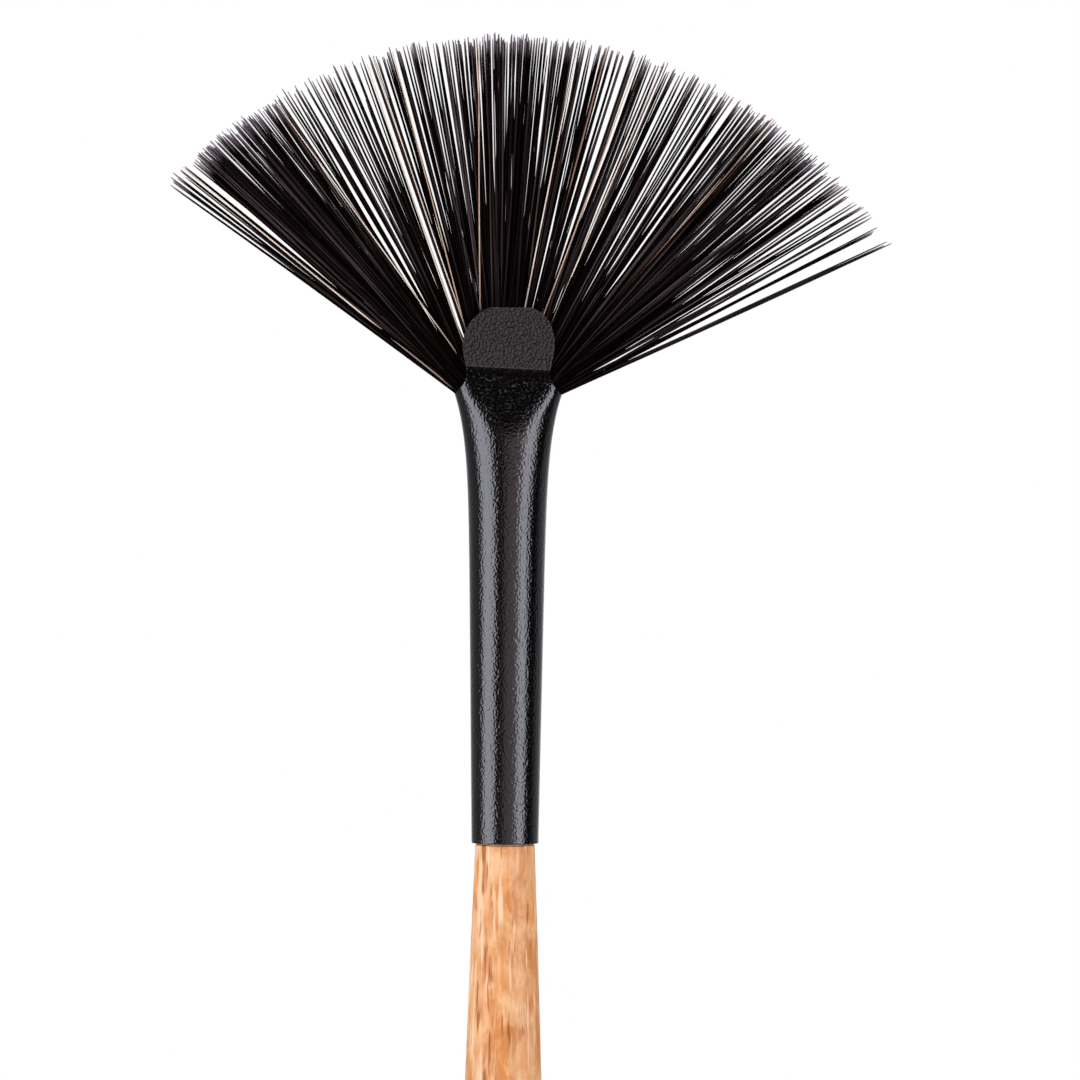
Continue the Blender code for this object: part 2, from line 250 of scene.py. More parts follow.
def make_beech():
    """Pale orange beech: a soft figure, pale streaks and a few brown flecks, all running up the handle."""
    made = Finish("beech")
    bands = made.noise(made.place((360.0, 360.0, 26.0)), 1.0, 2.0, 0.5, 0.5)
    mottle = made.noise(made.place((520.0, 520.0, 260.0)), 1.0, 4.0, 0.62, 0.5)
    grain = made.noise(made.place((3600.0, 3600.0, 160.0)), 1.0, 3.0, 0.6)
    split = made.add("ShaderNodeSeparateXYZ", {"Vector": made.place()})
    from_line = made.math("ABSOLUTE", made.math("ADD", split.outputs["X"], GRAIN_LINE))
    near_line = made.ramp(made.math("MULTIPLY", from_line, 500.0), [(0.20, grey(1.0)), (0.55, grey(0.0))])
    streaks = made.noise(made.place((1900.0, 1900.0, 150.0), (3.0, 1.0, 2.0)), 1.0, 2.0, 0.5)
    streaks = made.math("MULTIPLY_ADD", near_line, 0.05, streaks)
    flecks = made.noise(made.place((2100.0, 2100.0, 200.0), (5.3, 2.1, 7.7)), 1.0, 2.0, 0.5)
    flecks = made.math("MULTIPLY_ADD", near_line, 0.12, flecks)
    colour = made.ramp(
        bands,
        [
            (0.32, (0.500, 0.200, 0.058)),
            (0.50, (0.570, 0.268, 0.098)),
            (0.66, (0.620, 0.335, 0.150)),
        ],
    )
    orange = made.ramp(mottle, [(0.38, grey(0.80)), (0.50, grey(0.0))])
    pale = made.ramp(mottle, [(0.50, grey(0.0)), (0.62, grey(0.80))])
    colour = made.mix(orange, colour, (0.450, 0.160, 0.040, 1.0))
    colour = made.mix(pale, colour, (0.650, 0.385, 0.195, 1.0))
    fine = made.ramp(grain, [(0.36, grey(0.70)), (0.56, grey(1.0))])
    colour = made.mix(0.55, colour, fine, "MULTIPLY")
    streak_light = made.ramp(streaks, [(0.57, grey(0.0)), (0.66, grey(0.85))])
    colour = made.mix(streak_light, colour, (0.680, 0.450, 0.270, 1.0))
    fleck_shade = made.ramp(flecks, [(0.66, grey(0.0)), (0.73, grey(0.90))])
    colour = made.mix(fleck_shade, colour, (0.260, 0.072, 0.010, 1.0))
    rough = made.math("MULTIPLY_ADD", grain, 0.22, 0.36)
    height = made.math("SUBTRACT", grain, made.math("MULTIPLY", fleck_shade, 0.10))
    made.principled(
        Base_Color=colour,
        Roughness=rough,
        Normal=made.bump(height, 0.35, 0.03 * MM),
        Specular_IOR_Level=0.18,
    )
    return made.material


def make_wrinkle_coat():
    """Black wrinkle lacquer: small glossy pebbles, deeper on the pressed faces and darker in the hollows
    between them as painted shade, with painted grey highlights at the tab edges and painted sheen over each
    tab.
    """
    made = Finish("black_wrinkle_coat")
    place = made.place()
    cells = made.add(
        "ShaderNodeTexVoronoi",
        {"Vector": place, "Scale": 4200.0, "Smoothness": 0.25, "Randomness": 1.0},
        feature="SMOOTH_F1",
    ).outputs["Distance"]
    swell = made.noise(place, 1900.0, 1.0, 0.5, 0.4)
    height = made.math("SUBTRACT", made.math("MULTIPLY", swell, 0.5), made.math("MULTIPLY", cells, cells))
    # Painted shade: the coat's colour is darker in the hollows between the pebbles.
    colour = made.ramp(cells, [(0.15, (0.0022, 0.0016, 0.0018)), (0.60, (0.0006, 0.0003, 0.0004))])
    painted_edge_highlight = made.attribute("painted_edge_highlight")
    pressed = made.attribute("pressed")
    # Painted highlight in grey, strongest on the tops of the pebbles.
    painted_highlight_mask = made.math("MULTIPLY", painted_edge_highlight, made.ramp(cells, [(0.20, grey(1.0)), (0.50, grey(0.35))]))
    rough = made.ramp(cells, [(0.20, grey(0.09)), (0.60, grey(0.20))])
    relief = made.math("MULTIPLY_ADD", pressed, 0.018 * MM, 0.028 * MM)
    made.principled(
        Base_Color=made.mix(painted_highlight_mask, colour, (0.030, 0.027, 0.028, 1.0)),
        Roughness=rough,
        Normal=made.bump(height, 1.0, relief),
        Specular_IOR_Level=0.5,
    )
    return made.material


def make_hair_finish(name, dark, light, tip, roughness, gloss):
    """A hair: its tone is its own on pale hairs and painted highlight on black hairs, it drifts a little
    along its length, it is darker towards the root, and it pales at the very tip.
    """
    made = Finish(name)
    drift = made.noise(made.place((260.0, 260.0, 260.0)), 1.0, 2.0)
    rings = made.noise(made.place((9000.0, 9000.0, 9000.0)), 1.0, 1.0)
    along = made.attribute("along")
    tone_and_highlight = made.attribute("tone_and_highlight")
    worn = made.ramp(along, [(0.945, grey(0.0)), (0.998, grey(1.0))])
    # Darker towards the root.
    darker_to_root = made.ramp(along, [(0.16, grey(0.25)), (0.40, grey(1.0))])
    drifted = made.math("MULTIPLY_ADD", drift, 1.2, 0.4)
    # Tone lightens the base colour: painted highlight on black hairs, and the hair's own colour on pale
    # hairs.
    shade = made.math("MULTIPLY", made.math("MULTIPLY", tone_and_highlight, darker_to_root), drifted)
    made.principled(
        Base_Color=made.mix(worn, made.ramp(shade, [(0.0, dark), (1.0, light)]), (*tip, 1.0)),
        Roughness=made.math("MULTIPLY_ADD", rings, 0.16, roughness),
        Normal=made.bump(rings, 0.15, 0.01 * MM),
        Specular_IOR_Level=gloss,
    )
    return made.material


def make_clear(name, shallow, deep, roughness):
    """Set glue or resin: amber with cloudy depth."""
    made = Finish(name)
    clouds = made.noise(made.place((900.0, 900.0, 900.0)), 1.0, 4.0)
    made.principled(
        Base_Color=made.ramp(clouds, [(0.35, deep), (0.65, shallow)]),
        Roughness=made.math("MULTIPLY_ADD", clouds, 0.12, roughness),
        Normal=made.bump(clouds, 0.2, 0.05 * MM),
        Coat_Weight=0.5,
    )
    return made.material


def make_thread():
    made = Finish("linen_thread")
    twist = made.add(
        "ShaderNodeTexWave",
        {"Vector": made.place(), "Scale": 1500.0, "Distortion": 2.0, "Detail": 2.0},
        bands_direction="DIAGONAL",
    )
    made.principled(
        Base_Color=made.ramp(twist.outputs["Fac"], [(0.2, (0.42, 0.37, 0.28)), (0.8, (0.74, 0.69, 0.58))]),
        Roughness=made.math("MULTIPLY_ADD", twist.outputs["Fac"], 0.1, 0.75),
        Normal=made.bump(twist.outputs["Fac"], 0.6, 0.04 * MM),
    )
    return made.material


# Meshes


def add_mesh(name, points, faces, materials, slots=None):
    mesh = bpy.data.meshes.new(name)
    mesh.from_pydata([tuple(point) for point in points], [], faces)
    for finish in materials:
        mesh.materials.append(finish)
    if slots is not None:
        mesh.polygons.foreach_set("material_index", slots)
    mesh.shade_smooth()
    mesh.update()
    obj = bpy.data.objects.new(name, mesh)
    bpy.context.scene.collection.objects.link(obj)
    return obj


def ring_faces(rows, count, close_rows=False):
    """Quads between neighbouring rings of count points each."""
    faces = []
    last = rows if close_rows else rows - 1
    for row in range(last):
        above = (row + 1) % rows
        for i in range(count):
            j = (i + 1) % count
            faces.append((row * count + i, row * count + j, above * count + j, above * count + i))
    return faces


def circle(radius, height, count):
    angles = np.arange(count) * TAU / count
    return np.stack([radius * np.cos(angles), radius * np.sin(angles), np.full(count, height)], axis=1)


def make_handle():
    """The turned handle at full smoothness, with grain lines and pores cut a few microns deep."""
    node = frame["nodes"]["handle"]
    corners = np.array([vertex.co for vertex in node.data.vertices])
    radii = np.hypot(corners[:, 0], corners[:, 1])
    stations = {}
    for radius, height in zip(radii, corners[:, 2]):
        key = round(float(height), 6)
        stations[key] = max(stations.get(key, 0.0), float(radius))
    heights = np.array(sorted(stations))
    profile = np.array([stations[round(float(h), 6)] for h in heights])

    around = 120
    body_top = FERRULE_BOTTOM - 0.3 * MM
    smooth_heights = np.linspace(1.5 * MM, body_top, 330)
    lower = heights[heights < 1.45 * MM]
    upper = heights[heights > body_top]
    rows = np.concatenate([lower, smooth_heights, upper])
    rings = []
    for height in rows:
        radius = float(np.interp(height, heights, profile))
        ring = circle(radius, height, around)
        if 0.5 * MM < height < body_top:
            for point in ring:
                place = Vector((point[0] * 2600, point[1] * 2600, point[2] * 260))
                pore = max(noise.noise(place) - 0.25, 0.0)
                grain = noise.noise(Vector((point[0] * 900, point[1] * 900, point[2] * 45)))
                depth = PORE_DEPTH * pore + GRAIN_DEPTH * grain
                point[:2] *= 1.0 - depth / max(radius, 0.5 * MM)
        rings.append(ring)
    points = np.concatenate(rings + [[[0, 0, rows[0]], [0, 0, rows[-1]]]])
    faces = ring_faces(len(rows), around)
    bottom, top = len(points) - 2, len(points) - 1
    last = (len(rows) - 1) * around
    for i in range(around):
        j = (i + 1) % around
        faces.append((bottom, j, i))
        faces.append((top, last + i, last + j))
    handle = add_mesh("beech_handle", points, faces, [make_beech()])
    handle.data.set_sharp_from_angle(angle=math.radians(50))
    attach(handle, "root")
    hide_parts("handle")


def ferrule_rise(height):
    return min((height - FERRULE_BOTTOM) / (SHOULDER - FERRULE_BOTTOM), 1.0)


def ferrule_half_width(height):
    flare = SHOULDER_HALF_WIDTH - MOUTH_RADIUS - TUBE_WIDENING
    rise = ferrule_rise(height)
    return MOUTH_RADIUS + TUBE_WIDENING * rise + flare * rise**FLARE_POWER


def ferrule_half_depth(height):
    """The tube's half depth, before its front and back are pressed in. It is large at the tabs."""
    tube = MOUTH_RADIUS + TUBE_WIDENING * ferrule_rise(height)
    tabs = TAB_SIDE_DEPTH * smooth(height, CRIMP - 0.2 * MM, TAB_BOTTOM)
    return tube - DEPTH_LOSS * smooth(height, FLATTENING_START, HAIR_MOUTH) + tabs


def pressed_depth(x, height, step=0.0):
    """The sloping faces of the press, the crimp that they meet in, and the step out to the tabs above it."""
    foot = TAB_BOTTOM + TAB_TILT * x + step
    crimp = foot - (TAB_BOTTOM - CRIMP)
    slope = CRIMP_HALF_THICKNESS + PRESS_SLOPE * np.maximum(crimp - height, CRIMP - TAB_BOTTOM)
    out = smooth_all(height - foot, STEP_START, STEP_END)
    return slope + (TAB_HALF_THICKNESS - CRIMP_HALF_THICKNESS) * out


def pressed_ring(height, count, inset=0.0, step=0.0):
    """One ring of the ferrule: an ellipse whose front and back are pressed flat."""
    angles = np.arange(count) * TAU / count
    x = (ferrule_half_width(height) - inset) * np.cos(angles)
    round_depth = (ferrule_half_depth(height) - inset) * np.abs(np.sin(angles))
    flat_depth = pressed_depth(x, height, step) - inset
    overlap = np.maximum(PRESS_ROUNDING - np.abs(round_depth - flat_depth), 0.0) / PRESS_ROUNDING
    depth = np.minimum(round_depth, flat_depth) - overlap**2 * PRESS_ROUNDING / 4.0
    y = np.maximum(depth, 0.0) * np.sign(np.sin(angles))
    return np.stack([x, y, np.full(count, height)], axis=1)


def half_outline(corner):
    """One side of the trimmed mouth: up from the shoulder and round the tab to near its top's middle."""
    points = [
        (SHOULDER_HALF_WIDTH, SHOULDER),
        (SHOULDER_TIP_HALF_WIDTH, SHOULDER_TIP),
        (NECK_HALF_WIDTH, NECK),
        (TAB_FOOT_HALF_WIDTH, TAB_BOTTOM),
    ]
    steps = 48
    for i in range(steps):
        angle = math.pi / 2 * i / steps
        x = TAB_HALF_WIDTH * math.cos(angle) ** (2.0 / corner)
        height = TAB_SHOULDER + TAB_CROWN * math.sin(angle) ** (2.0 / corner)
        points.append((x, min(height, TAB_TOP)))
    return points


def make_tab_cutter():
    """All that is beside and above the tabs, as one outline through the whole thickness of the ferrule."""
    reach = 2.0 * SHOULDER_HALF_WIDTH
    clear = TAB_TOP + 3.0 * MM
    right = half_outline(TAB_CORNER_RIGHT)
    left = [(-x, height) for x, height in half_outline(TAB_CORNER_LEFT)]
    tabs = [*left, *reversed(right)]
    outline = [(-reach, SHOULDER), *tabs, (reach, SHOULDER), (reach, clear), (-reach, clear)]
    built = bmesh.new()
    front = [built.verts.new((x, -CUTTER_HALF_DEPTH, height)) for x, height in outline]
    face = built.faces.new(front)
    pushed = bmesh.ops.extrude_face_region(built, geom=[face])
    moved = [item for item in pushed["geom"] if isinstance(item, bmesh.types.BMVert)]
    bmesh.ops.translate(built, vec=(0, 2 * CUTTER_HALF_DEPTH, 0), verts=moved)
    bmesh.ops.recalc_face_normals(built, faces=built.faces)
    mesh = bpy.data.meshes.new("tab_cutter")
    built.to_mesh(mesh)
    built.free()
    cutter = bpy.data.objects.new("tab_cutter", mesh)
    bpy.context.scene.collection.objects.link(cutter)
    return cutter


def apply_modifiers(obj):
    """Replaces the object's mesh with the mesh its modifiers make."""
    bpy.context.view_layer.update()
    graph = bpy.context.evaluated_depsgraph_get()
    mesh = bpy.data.meshes.new_from_object(obj.evaluated_get(graph))
    obj.modifiers.clear()
    obj.data = mesh


def wrinkle(points, normals):
    """Moves each point along its normal by a folded noise, the raised pattern of wrinkle lacquer."""
    moved = points.copy()
    for i, (point, normal) in enumerate(zip(points, normals)):
        place = Vector(point) / WRINKLE_SIZE
        fold = 1.0 - 2.2 * abs(noise.noise(place))
        fine = noise.noise(place * 2.1)
        moved[i] += normal * WRINKLE_HEIGHT * (0.7 * fold + 0.5 * fine)
    return moved


def painted_edge_highlights(points):
    """Painted highlight: 1 on the edge of the tabs and along their lower step, and a little over the whole
    face of each tab as painted sheen.
    """
    x, height = np.abs(points[:, 0]), points[:, 2]
    nearest = np.full(len(points), 1.0)
    for side, corner in ((-1.0, TAB_CORNER_LEFT), (1.0, TAB_CORNER_RIGHT)):
        outline = half_outline(corner)[3:]
        for (x0, z0), (x1, z1) in zip(outline, outline[1:]):
            run, rise = x1 - x0, z1 - z0
            length = max(math.hypot(run, rise), 0.001 * MM)
            share = np.clip(((x - x0) * run + (height - z0) * rise) / length**2, 0.0, 1.0)
            away = np.hypot(x - x0 - share * run, height - z0 - share * rise)
            nearest = np.where(points[:, 0] * side > 0.0, np.minimum(nearest, away), nearest)
    step = np.abs(height - TAB_BOTTOM - TAB_TILT * points[:, 0] - 0.12 * MM)
    on_tab = np.abs(points[:, 1]) > CRIMP_HALF_THICKNESS + 0.25 * MM
    nearest = np.where(on_tab & (x < TAB_HALF_WIDTH), np.minimum(nearest, step), nearest)
    edge = 1.0 - smooth_all(nearest, EDGE_HIGHLIGHT_START, EDGE_HIGHLIGHT_END)
    return np.maximum(edge, np.where(on_tab & (height > TAB_BOTTOM - 0.3 * MM), TAB_PAINTED_SHEEN, 0.0))


def pressed_faces(points):
    """1 on the faces that the press flattens, where the coat is thicker, and 0 on the round tube."""
    tube = np.array([ferrule_half_depth(height) for height in points[:, 2]])
    widths = np.array([ferrule_half_width(height) for height in points[:, 2]])
    across = np.clip(np.abs(points[:, 0]) / widths, 0.0, 1.0)
    round_depth = tube * np.sqrt(1.0 - across**2)
    return smooth_all(round_depth - np.abs(points[:, 1]), 0.05 * MM, 0.30 * MM)


def make_ferrule():
    """The pressed ferrule: one wall, round below and flat above, with a tab at the front and the back."""
    around = 168
    below_step = TAB_BOTTOM - 0.5 * MM
    above_step = TAB_BOTTOM + 0.5 * MM
    heights = list(np.linspace(FERRULE_BOTTOM, below_step, 335))
    heights += list(np.linspace(below_step, above_step, 26)[1:])
    heights += list(np.linspace(above_step, TAB_TOP + 0.6 * MM, 44)[1:])
    outer = [pressed_ring(height, around) for height in heights]
    inner = [pressed_ring(height, around, inset=WALL, step=WALL) for height in heights[::-6]]
    if heights[::-6][-1] > FERRULE_BOTTOM:
        inner.append(pressed_ring(FERRULE_BOTTOM, around, inset=WALL))
    rings = outer + inner
    points = np.concatenate(rings)
    faces = ring_faces(len(rings), around, close_rows=True)
    ferrule = add_mesh("black_ferrule", points, faces, [make_wrinkle_coat()])
    cutter = make_tab_cutter()
    cut = ferrule.modifiers.new("cut the tabs free", "BOOLEAN")
    cut.object = cutter
    cut.operation = "DIFFERENCE"
    edge = ferrule.modifiers.new("round the cut edges", "BEVEL")
    edge.width = CUT_EDGE_BEVEL
    edge.segments = 2
    edge.limit_method = "ANGLE"
    edge.angle_limit = math.radians(55)
    apply_modifiers(ferrule)
    bpy.data.objects.remove(cutter)
    mesh = ferrule.data
    count = len(mesh.vertices)
    places = np.empty(count * 3)
    mesh.vertices.foreach_get("co", places)
    places = places.reshape(-1, 3)
    normals = np.empty(count * 3, np.float32)
    mesh.vertex_normals.foreach_get("vector", normals)
    # Painted highlight on the tab edges and their step, and painted sheen over each tab.
    mesh.attributes.new("painted_edge_highlight", "FLOAT", "POINT").data.foreach_set("value", painted_edge_highlights(places))
    mesh.attributes.new("pressed", "FLOAT", "POINT").data.foreach_set("value", pressed_faces(places))
    mesh.vertices.foreach_set("co", wrinkle(places, normals.reshape(-1, 3)).ravel())
    mesh.shade_smooth()
    mesh.set_sharp_from_angle(angle=math.radians(50))
    mesh.update()
    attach(ferrule, "root")
    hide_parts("ferrule")


# Hair


def lock_angle(joint):
    return math.atan2(-joint["axis"][2], joint["axis"][0])


FIRST_ANGLE = lock_angle(LOCKS[0])
LOCK_ANGLE = (lock_angle(LOCKS[-1]) - FIRST_ANGLE) / (len(LOCKS) - 1)
FAN_LEAN = (FIRST_ANGLE + lock_angle(LOCKS[-1])) / 2
FAN_HALF_ANGLE = LOCK_ANGLE * len(LOCKS) / 2


def hair_direction(u):
    angle = FAN_LEAN + FAN_HALF_ANGLE * u
    return Vector((math.sin(angle), 0.0, math.cos(angle)))


def mouth_point(u):
    return Vector((MOUTH_HALF_SPREAD * u, 0.0, HAIR_MOUTH - MOUTH_SAG * u**4))


def tip_point(u):
    """Where the hair at u meets the round edge of the fan."""
    start = mouth_point(u) - TIP_CENTRE
    along = start.dot(hair_direction(u))
    reach = -along + math.sqrt(along * along - start.length_squared + TIP_RADIUS**2)
    return mouth_point(u) + hair_direction(u) * reach


def root_place(u):
    """Where the hair that ends at u leaves the metal. Hairs near the middle are more nearly parallel."""
    return u + 0.10 * math.sin(math.pi * u)


def bundle_half_depth(point):
    """How far the outermost hairs lie from the middle plane: in the tube, between the tabs and above."""
    metal = pressed_depth(point.x, min(point.z, TAB_TOP), step=WALL) - WALL
    drawn_in = 0.19 * MM * smooth(point.z, TAB_TOP - 0.5 * MM, TAB_TOP + 2.5 * MM)
    between_tabs = metal - HAIR_RADIUS - METAL_CLEARANCE - drawn_in
    out_of_tube = smooth(point.z, HAIR_MOUTH - 0.4 * MM, HAIR_MOUTH + 0.3 * MM)
    return TUBE_HAIR_HALF_DEPTH + (between_tabs - TUBE_HAIR_HALF_DEPTH) * out_of_tube


def hair_path(draw, u_root, tip, layer, tip_layer, short):
    """The points of one hair, from inside the ferrule to its tip, their distances along it and its length."""
    start = mouth_point(u_root)
    direction = (tip - start).normalized()
    length = (tip - start).length - short
    bow = draw.uniform(-1.0, 1.0) * HAIR_BOW
    side = Vector((direction.z, 0.0, -direction.x))
    stations = [station * MM for station in INSIDE + NEAR]
    last = stations[-1]
    stations += [last + (length - last) * share for share in FAR]
    points = []
    for station in stations:
        if station < 0.0:
            height = start.z + station
            inside = ferrule_half_width(height) - WALL - 0.10 * MM
            point = Vector((inside * u_root, 0.0, height))
        else:
            point = start + direction * station
        share = max(station, 0.0) / length
        point.y = (layer + (tip_layer - layer) * smooth(share, 0.10, 1.0)) * bundle_half_depth(point)
        point += side * bow * math.sin(math.pi * share)
        points.append(point)
    return points, [max(station, 0.0) for station in stations], length


class LockMesh:
    """One lock's hairs as tubes, with a finish for each face and a place along the hair for each point."""

    def __init__(self):
        self.points, self.faces, self.slots, self.along, self.tones_and_highlights = [], [], [], [], []

    def add_hair(self, path, radii, shares, slot, tone_and_highlight):
        """A closed tube along the path. Its rings lie square across the path."""
        base = len(self.points)
        count = len(path)
        across = Vector((0.0, 1.0, 0.0))
        for i, (point, radius) in enumerate(zip(path, radii)):
            ahead = path[min(i + 1, count - 1)] - path[max(i - 1, 0)]
            first = ahead.cross(across).normalized()
            second = first.cross(ahead).normalized()
            for k in range(HAIR_SIDES):
                turn = TAU * k / HAIR_SIDES
                self.points.append(point + (first * math.cos(turn) + second * math.sin(turn)) * radius)
        sides = [tuple(base + corner for corner in face) for face in ring_faces(count, HAIR_SIDES)]
        root_end = tuple(base + k for k in reversed(range(HAIR_SIDES)))
        tip_end = tuple(base + (count - 1) * HAIR_SIDES + k for k in range(HAIR_SIDES))
        self.faces += [*sides, root_end, tip_end]
        self.slots += [slot] * (len(sides) + 2)
        self.along += [share for share in shares for _ in range(HAIR_SIDES)]
        self.tones_and_highlights += [tone_and_highlight] * (count * HAIR_SIDES)

    def build(self, name, finishes):
        obj = add_mesh(name, self.points, self.faces, finishes, self.slots)
        for label, values in (("along", self.along), ("tone_and_highlight", self.tones_and_highlights)):
            obj.data.attributes.new(label, "FLOAT", "POINT").data.foreach_set("value", values)
        return obj


def crowding(u):
    return float(np.interp(u, *zip(*CROWDING)))


def strand_places(draw, left, width):
    """The strands of one lock: where each ends, where it leaves the metal, and its kind."""
    pale = [hair for hair in PALE_HAIRS if left <= hair[0] < left + width]
    count = round(STRANDS * crowding(left + width / 2) * draw.uniform(0.85, 1.15))
    places = [u for u in EDGE_STRANDS if left <= u < left + width]
    places += [left + width * (i + draw.uniform(-0.3, 1.3)) / count for i in range(count)]
    return pale + [(u, root_place(u), "black") for u in places]


def hair_radii(reached, length, thickness):
    """The hair's radius at each station: it thins evenly, and quickly over the last millimetre."""
    radii = []
    for distance in reached:
        taper = 0.50 + 0.50 * min((length - distance) / (1.0 * MM), 1.0) ** 0.8
        radii.append(thickness * (1.0 - 0.28 * distance / length) * taper)
    return radii


def add_strand(lock, draw, u, root, kind):
    """One strand of one to three black hairs, or one pale hair, which lies at the front of the fan."""
    black = kind == "black"
    across = Vector((hair_direction(u).z, 0.0, -hair_direction(u).x))
    stray = draw.gauss(0.0, STRAND_STRAY)
    strand_root = root + stray if black else root
    strand_short = draw.uniform(0.0, STRAND_SHORTNESS)
    hairs = draw.choice(STRAND_SIZES) if black else 1
    for _ in range(hairs):
        offset = draw.uniform(-1.0, 1.0) * STRAND_HALF_SPACING * (hairs - 1)
        u_root = min(max(strand_root + draw.gauss(0.0, HAIR_STRAY if black else 0.0), -1.0), 1.0)
        short = strand_short + draw.uniform(-0.20, 0.60) * MM
        if hairs > 1 and draw.random() < BROKEN_SHARE:
            short += draw.uniform(0.5, 4.0) * MM
        if black:
            layer = draw.uniform(-1.0, 1.0)
            tip_layer = layer * draw.uniform(0.30, 0.55) + draw.uniform(-0.10, 0.10)
        else:
            layer, tip_layer = (0.1 if kind == "brown" else -0.9), -0.95
        tip = tip_point(u) + across * offset
        path, reached, length = hair_path(draw, u_root, tip, layer, tip_layer, short)
        # A black hair's tone is painted highlight: a few black hairs get a lighter, thinner line, as hairs
        # catching light do. A pale hair's tone is its own.
        tone_and_highlight = draw.random() ** 4 if black else draw.uniform(0.8, 1.0)
        thickness = HAIR_RADIUS * draw.uniform(0.85, 1.12) * (1.0 - 0.3 * tone_and_highlight)
        radii = hair_radii(reached, length, thickness)
        shares = [distance / length for distance in reached]
        lock.add_hair(path, radii, shares, FINISH_ORDER.index(kind), tone_and_highlight)


def make_hair_lock(index, joint, finishes):
    """The loose hairs of one lock."""
    draw = random.Random(100 + index)
    body = joint["child"]
    width = 2.0 / len(LOCKS)
    left = -1.0 + width * index
    lock = LockMesh()
    for u, root, kind in strand_places(draw, left, width):
        add_strand(lock, draw, u, root, kind)
    obj = lock.build(f"{body}_hairs", finishes)
    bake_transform(obj)
    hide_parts(body)


def make_hair():
    """All 24 locks. Returns the black finish, which the hair bundle has too."""
    shades = {
        # The black hair's light colour is painted highlight, reached only by the few black hairs of high
        # tone.
        "black": ((0.0013, 0.0002, 0.0002), (0.058, 0.042, 0.041), (0.13, 0.10, 0.115), 0.26, 0.01),
        "tan": ((0.07, 0.040, 0.024), (0.40, 0.26, 0.17), (0.42, 0.28, 0.20), 0.36, 0.15),
        "brown": ((0.03, 0.014, 0.008), (0.20, 0.105, 0.060), (0.26, 0.16, 0.11), 0.34, 0.15),
        "cream": ((0.10, 0.065, 0.045), (0.56, 0.46, 0.37), (0.60, 0.52, 0.44), 0.36, 0.15),
    }
    finishes = [make_hair_finish(f"{kind}_hair", *shades[kind]) for kind in FINISH_ORDER]
    for index, joint in enumerate(LOCKS):
        make_hair_lock(index, joint, finishes)
    return finishes[FINISH_ORDER.index("black")]


def make_bundle(finish):
    """The bundle inside the ferrule, ridged by the hairs that lie side by side in it."""
    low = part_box("hair_root")[0]
    around = 220
    rings = []
    for height in np.linspace(low.z, HAIR_MOUTH + 0.2 * MM, 34):
        spread = smooth(height, BUNDLE_SPREAD_START, HAIR_MOUTH)
        half_width = BUNDLE_RADIUS + (ferrule_half_width(height) - BUNDLE_CLEARANCE - BUNDLE_RADIUS) * spread
        ring = circle(half_width, height, around)
        round_depth = BUNDLE_RADIUS / half_width * np.abs(ring[:, 1])
        flat_depth = pressed_depth(ring[:, 0], height) - BUNDLE_CLEARANCE
        ring[:, 1] = np.sign(ring[:, 1]) * np.minimum(round_depth, flat_depth)
        ring[::4, 1] *= 0.97
        rings.append(ring)
    points = np.concatenate(rings)
    faces = ring_faces(len(rings), around)
    faces.append(tuple(reversed(range(around))))
    faces.append(tuple(range((len(rings) - 1) * around, len(rings) * around)))
    bundle = add_mesh("hair_bundle", points, faces, [finish])
    bundle.data.set_sharp_from_angle(angle=math.radians(60))
    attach(bundle, "root")
    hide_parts("hair_root")


def finish_hidden_pieces():
    finishes = {
        "handle_glue": make_clear("set_glue", (0.70, 0.55, 0.33), (0.50, 0.34, 0.16), 0.25),
        "resin_plug": make_clear("amber_resin", (0.52, 0.25, 0.07), (0.28, 0.11, 0.02), 0.18),
        "binding_thread": make_thread(),
    }
    for name, finish in finishes.items():
        mesh = frame["nodes"][name].data
        mesh.materials.clear()
        mesh.materials.append(finish)


# Camera, light and floor

PHOTO_SIDE = 96.8 * MM
VIEW_CENTRE = Vector((2.94 * MM, 0.0, TAB_TOP - 20.75 * MM))
CAMERA_ROLL = math.radians(-0.42)
LENS = 150.0
SENSOR = 36.0

# The studio, as brightness by compass turn in degrees: 0 is at the camera and positive turns towards +X. Some
# lights also have brightness by rise above the level, in degrees.
BOX_STRENGTH = 6.1
CEILING_STRENGTH = 1.6
SOFT_BOXES = [(-82, 0.0), (-78, 1.0), (-39, 1.0), (-35, 0.0), (36, 0.0), (40, 1.0), (64, 1.0), (69, 0.0)]
BOX_RISE = [(-48, 0.0), (-36, 1.0), (36, 1.0), (48, 0.0)]
BOX_TINT = (0.95, 0.96, 1.08)
FRONT = [(-14, 0.0), (-9, 0.6), (0, 0.95), (25, 1.15), (40, 1.2), (56, 0.0)]
FRONT_RISE = [(-40, 0.1), (-14, 1.0), (12, 1.0), (24, 0.0)]
FRONT_TINT = (1.12, 0.95, 1.0)
BACK = [
    (-170, 1.0), (-150, 0.35), (-90, 0.19), (-80, 0.16), (-76, 0.0),
    (102, 0.0), (108, 0.35), (145, 0.40), (165, 1.0),
]
BACK_TINT = (0.97, 0.97, 1.03)
CEILING_RISE = [(62, 0.0), (72, 1.0)]
WHITE = (1.0, 1.0, 1.0)
FLOOR_RADIUS = 0.45
FLOOR_GAP = 0.2 * MM


def make_camera():
    data = bpy.data.cameras.new("camera")
    data.lens = LENS
    data.sensor_width = SENSOR
    data.clip_start = 0.01
    data.clip_end = 20.0
    camera = bpy.data.objects.new("camera", data)
    distance = PHOTO_SIDE * LENS / SENSOR
    camera.location = VIEW_CENTRE - Vector((0.0, distance, 0.0))
    camera.rotation_euler = (math.radians(90), CAMERA_ROLL, 0.0)
    bpy.context.scene.collection.objects.link(camera)
    bpy.context.scene.camera = camera


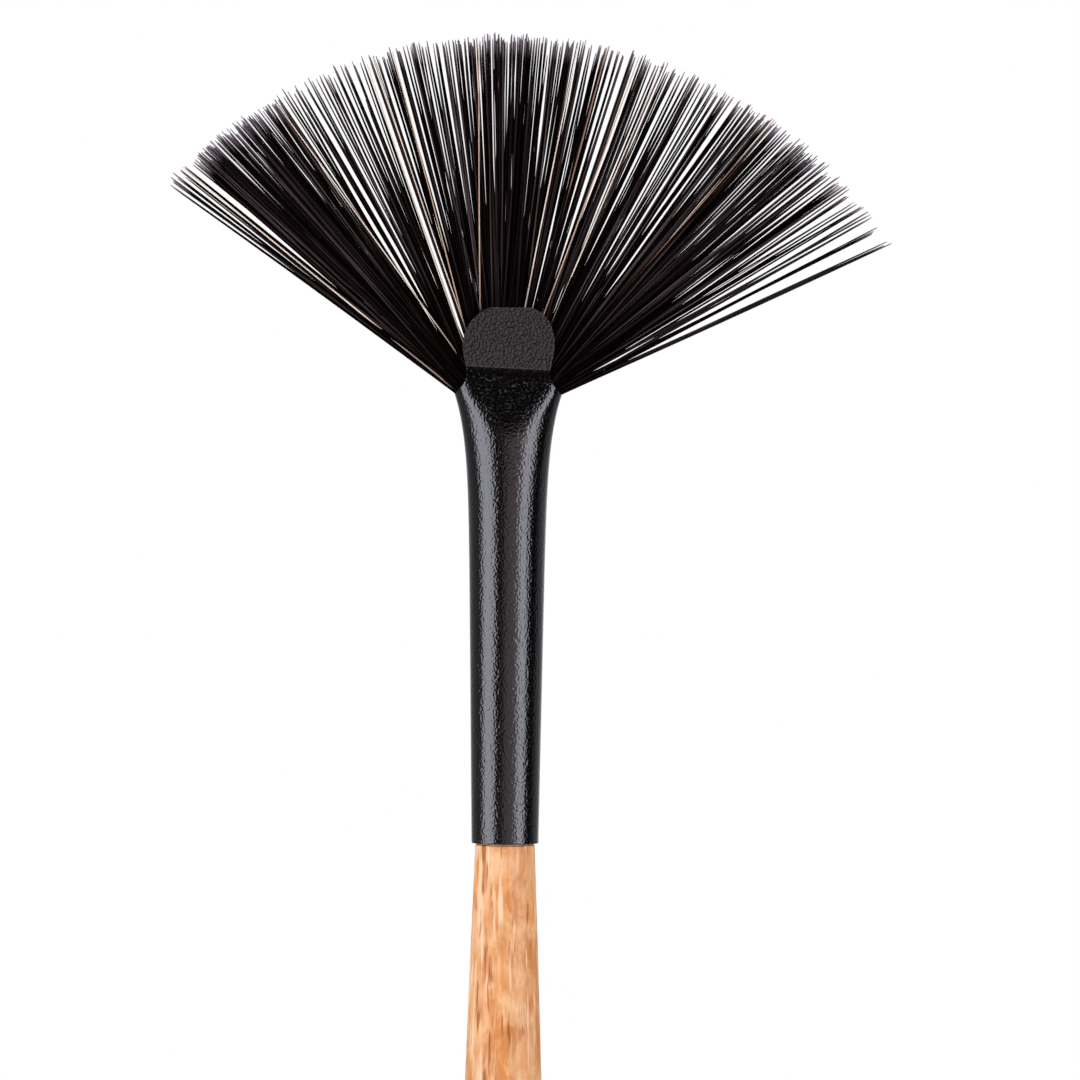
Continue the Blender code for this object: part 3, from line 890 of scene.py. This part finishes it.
def make_world():
    """White to the camera. To the object, a studio: two soft boxes, a dim front and back, and a ceiling."""
    world = bpy.data.worlds.new("studio")
    bpy.context.scene.world = world
    world.use_nodes = True
    studio = NodeTree(world.node_tree)
    studio.tree.nodes.clear()

    def glow(strength, tint):
        made = studio.add("ShaderNodeBackground", {"Color": (*tint, 1.0), "Strength": strength})
        return made.outputs["Background"]

    def both(first, second):
        return studio.add("ShaderNodeAddShader", {0: first, 1: second}).outputs["Shader"]

    view = studio.add("ShaderNodeTexCoord").outputs["Generated"]
    direction = studio.add("ShaderNodeSeparateXYZ", {"Vector": view})
    backward = studio.math("MULTIPLY", direction.outputs["Y"], -1.0)
    turn = studio.math("ARCTAN2", direction.outputs["X"], backward)
    turn_share = studio.math("ADD", studio.math("DIVIDE", turn, TAU), 0.5)
    rise_share = studio.math("ADD", studio.math("MULTIPLY", direction.outputs["Z"], 0.5), 0.5)

    def by_turn(stops):
        return studio.ramp(turn_share, [((degrees + 180.0) / 360.0, grey(value)) for degrees, value in stops])

    def by_rise(stops):
        places = [(math.sin(math.radians(degrees)) / 2.0 + 0.5, grey(value)) for degrees, value in stops]
        return studio.ramp(rise_share, places)

    boxes = studio.math("MULTIPLY", by_turn(SOFT_BOXES), by_rise(BOX_RISE))
    front = studio.math("MULTIPLY", by_turn(FRONT), by_rise(FRONT_RISE))
    ceiling = studio.math("MULTIPLY", by_rise(CEILING_RISE), CEILING_STRENGTH)
    sides = both(glow(studio.math("MULTIPLY", boxes, BOX_STRENGTH), BOX_TINT), glow(front, FRONT_TINT))
    lights = both(both(sides, glow(by_turn(BACK), BACK_TINT)), glow(ceiling, WHITE))
    seen_by_camera = studio.add("ShaderNodeLightPath").outputs["Is Camera Ray"]
    mix = studio.add("ShaderNodeMixShader", {"Fac": seen_by_camera, 1: lights, 2: glow(1.0, WHITE)})
    studio.add("ShaderNodeOutputWorld", {"Surface": mix.outputs["Shader"]})


def make_floor():
    built = bmesh.new()
    bmesh.ops.create_circle(built, cap_ends=True, segments=96, radius=FLOOR_RADIUS)
    mesh = bpy.data.meshes.new("floor")
    built.to_mesh(mesh)
    built.free()
    finish = Finish("pale_floor")
    finish.principled(Base_Color=(0.86, 0.86, 0.86, 1.0), Roughness=0.6)
    mesh.materials.append(finish.material)
    floor = bpy.data.objects.new("floor", mesh)
    floor.location.z = -FLOOR_GAP
    bpy.context.scene.collection.objects.link(floor)


def main():
    make_camera()
    make_world()
    make_floor()
    bpy.context.scene.view_settings.view_transform = "Standard"
    make_handle()
    make_ferrule()
    black = make_hair()
    make_bundle(black)
    finish_hidden_pieces()


main()
